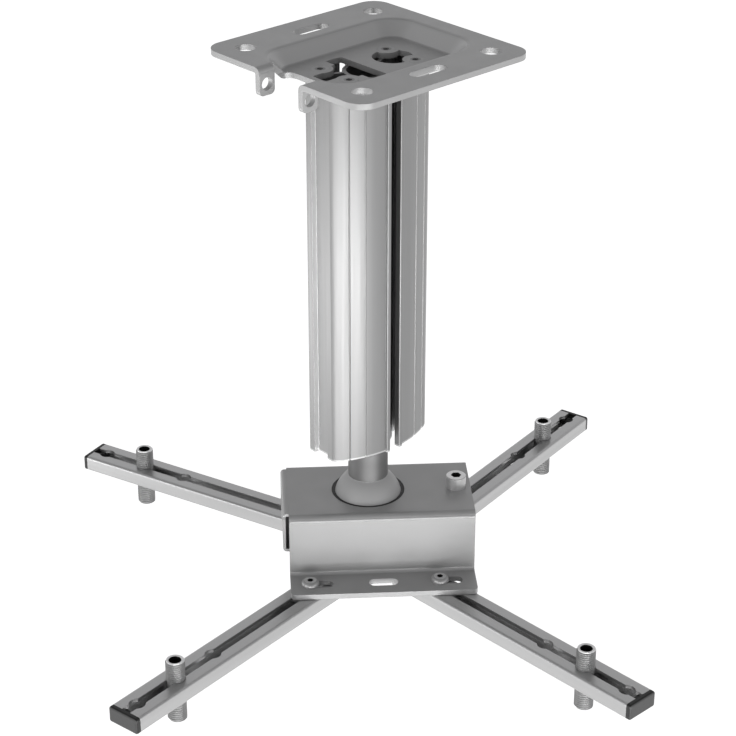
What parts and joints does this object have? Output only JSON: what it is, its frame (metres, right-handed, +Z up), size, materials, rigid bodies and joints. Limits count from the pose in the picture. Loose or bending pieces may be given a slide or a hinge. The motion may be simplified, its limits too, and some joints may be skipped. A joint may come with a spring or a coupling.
{
  "type": "projector ceiling mount",
  "caption": "Dished square ceiling plate, slotted extruded column, and a ball-jointed folded head with slotted arms and hollow threaded studs that carry a projector.",
  "frame": {"origin": "centre of the ceiling plate's top face, which lies against the ceiling", "axes": "+Z up to the ceiling, +X along the column's long side, away from the plate's notch and ears"},
  "size_m": [0.394, 0.3901, 0.3104],
  "materials": {
    "plate_paint": "semi-gloss silver-grey powder coat",
    "column_aluminium": "satin anodised extrusion",
    "arm_aluminium": "satin, silver-grey",
    "stem_steel": "satin, silver-grey",
    "screw_steel": "bright zinc",
    "stud_steel": "bright zinc thread",
    "cap_plastic": "dark grey moulded",
    "liner_plastic": "black moulded"
  },
  "bodies": {
    "root": {"ceiling_plate": "plate_paint", "column_screws": "screw_steel", "column_profile": "column_aluminium", "stem_set_screws": "screw_steel"},
    "stem": {"ball_stem": "stem_steel"},
    "ball_seat": {"upper_ball_liner": "liner_plastic", "lower_ball_liner": "liner_plastic"},
    "head": {"head_bracket": "plate_paint", "clamp_plate": "plate_paint", "clamp_screw": "screw_steel", "clamp_screw_nut": "screw_steel", "clamp_stud": "screw_steel", "clamp_stud_nut": "screw_steel", "pivot_screws": "screw_steel"},
    "pivot_nut_front_left": {"pivot_nut_front_left": "screw_steel"},
    "arm_front_left": {"arm_front_left": "arm_aluminium", "arm_cap_front_left": "cap_plastic"},
    "stud_front_left": {"stud_front_left": "stud_steel"},
    "pivot_nut_front_right": {"pivot_nut_front_right": "screw_steel"},
    "arm_front_right": {"arm_front_right": "arm_aluminium", "arm_cap_front_right": "cap_plastic"},
    "stud_front_right": {"stud_front_right": "stud_steel"},
    "pivot_nut_rear_left": {"pivot_nut_rear_left": "screw_steel"},
    "arm_rear_left": {"arm_rear_left": "arm_aluminium", "arm_cap_rear_left": "cap_plastic"},
    "stud_rear_left": {"stud_rear_left": "stud_steel"},
    "pivot_nut_rear_right": {"pivot_nut_rear_right": "screw_steel"},
    "arm_rear_right": {"arm_rear_right": "arm_aluminium", "arm_cap_rear_right": "cap_plastic"},
    "stud_rear_right": {"stud_rear_right": "stud_steel"}
  },
  "joints": [
    {"name": "stem_swivel", "type": "hinge", "parent": "root", "child": "stem", "pos_m": [0, 0, -0.215], "axis": [0, 0, 1], "continuous": true},
    {"name": "head_tilt", "type": "hinge", "parent": "stem", "child": "ball_seat", "pos_m": [0, 0, -0.253], "axis": [0.6286, 0.7777, 0], "range_deg": [-20, 20]},
    {"name": "head_turn", "type": "hinge", "parent": "ball_seat", "child": "head", "pos_m": [0, 0, -0.253], "axis": [0, 0, 1], "continuous": true},
    {"name": "arm_swing_front_left", "type": "hinge", "parent": "head", "child": "pivot_nut_front_left", "pos_m": [-0.0498, -0.00912, -0.28855], "axis": [0, 0, 1], "range_deg": [-47.7, 42.3]},
    {"name": "arm_slide_front_left", "type": "slide", "parent": "pivot_nut_front_left", "child": "arm_front_left", "axis": [-0.9884, -0.1521, 0], "range_m": [-0.0069, 0.0167]},
    {"name": "stud_height_front_left", "type": "slide", "parent": "arm_front_left", "child": "stud_front_left", "axis": [0, 0, 1], "range_m": [-0.009, 0.012]},
    {"name": "arm_swing_front_right", "type": "hinge", "parent": "head", "child": "pivot_nut_front_right", "pos_m": [0.00386, -0.05249, -0.28855], "axis": [0, 0, 1], "range_deg": [-39.8, 50.2]},
    {"name": "arm_slide_front_right", "type": "slide", "parent": "pivot_nut_front_right", "child": "arm_front_right", "axis": [0.0148, -0.9999, 0], "range_m": [-0.0062, 0.0174]},
    {"name": "stud_height_front_right", "type": "slide", "parent": "arm_front_right", "child": "stud_front_right", "axis": [0, 0, 1], "range_m": [-0.009, 0.012]},
    {"name": "arm_swing_rear_left", "type": "hinge", "parent": "head", "child": "pivot_nut_rear_left", "pos_m": [-0.00152, 0.05061, -0.28855], "axis": [0, 0, 1], "range_deg": [-55.5, 34.5]},
    {"name": "arm_slide_rear_left", "type": "slide", "parent": "pivot_nut_rear_left", "child": "arm_rear_left", "axis": [-0.2849, 0.9586, 0], "range_m": [-0.0136, 0.01]},
    {"name": "stud_height_rear_left", "type": "slide", "parent": "arm_rear_left", "child": "stud_rear_left", "axis": [0, 0, 1], "range_m": [-0.009, 0.012]},
    {"name": "arm_swing_rear_right", "type": "hinge", "parent": "head", "child": "pivot_nut_rear_right", "pos_m": [0.05914, 0.00158, -0.28855], "axis": [0, 0, 1], "range_deg": [-51, 39]},
    {"name": "arm_slide_rear_right", "type": "slide", "parent": "pivot_nut_rear_right", "child": "arm_rear_right", "axis": [0.978, 0.2088, 0], "range_m": [-0.0092, 0.0144]},
    {"name": "stud_height_rear_right", "type": "slide", "parent": "arm_rear_right", "child": "stud_rear_right", "axis": [0, 0, 1], "range_m": [-0.009, 0.012]}
  ]
}
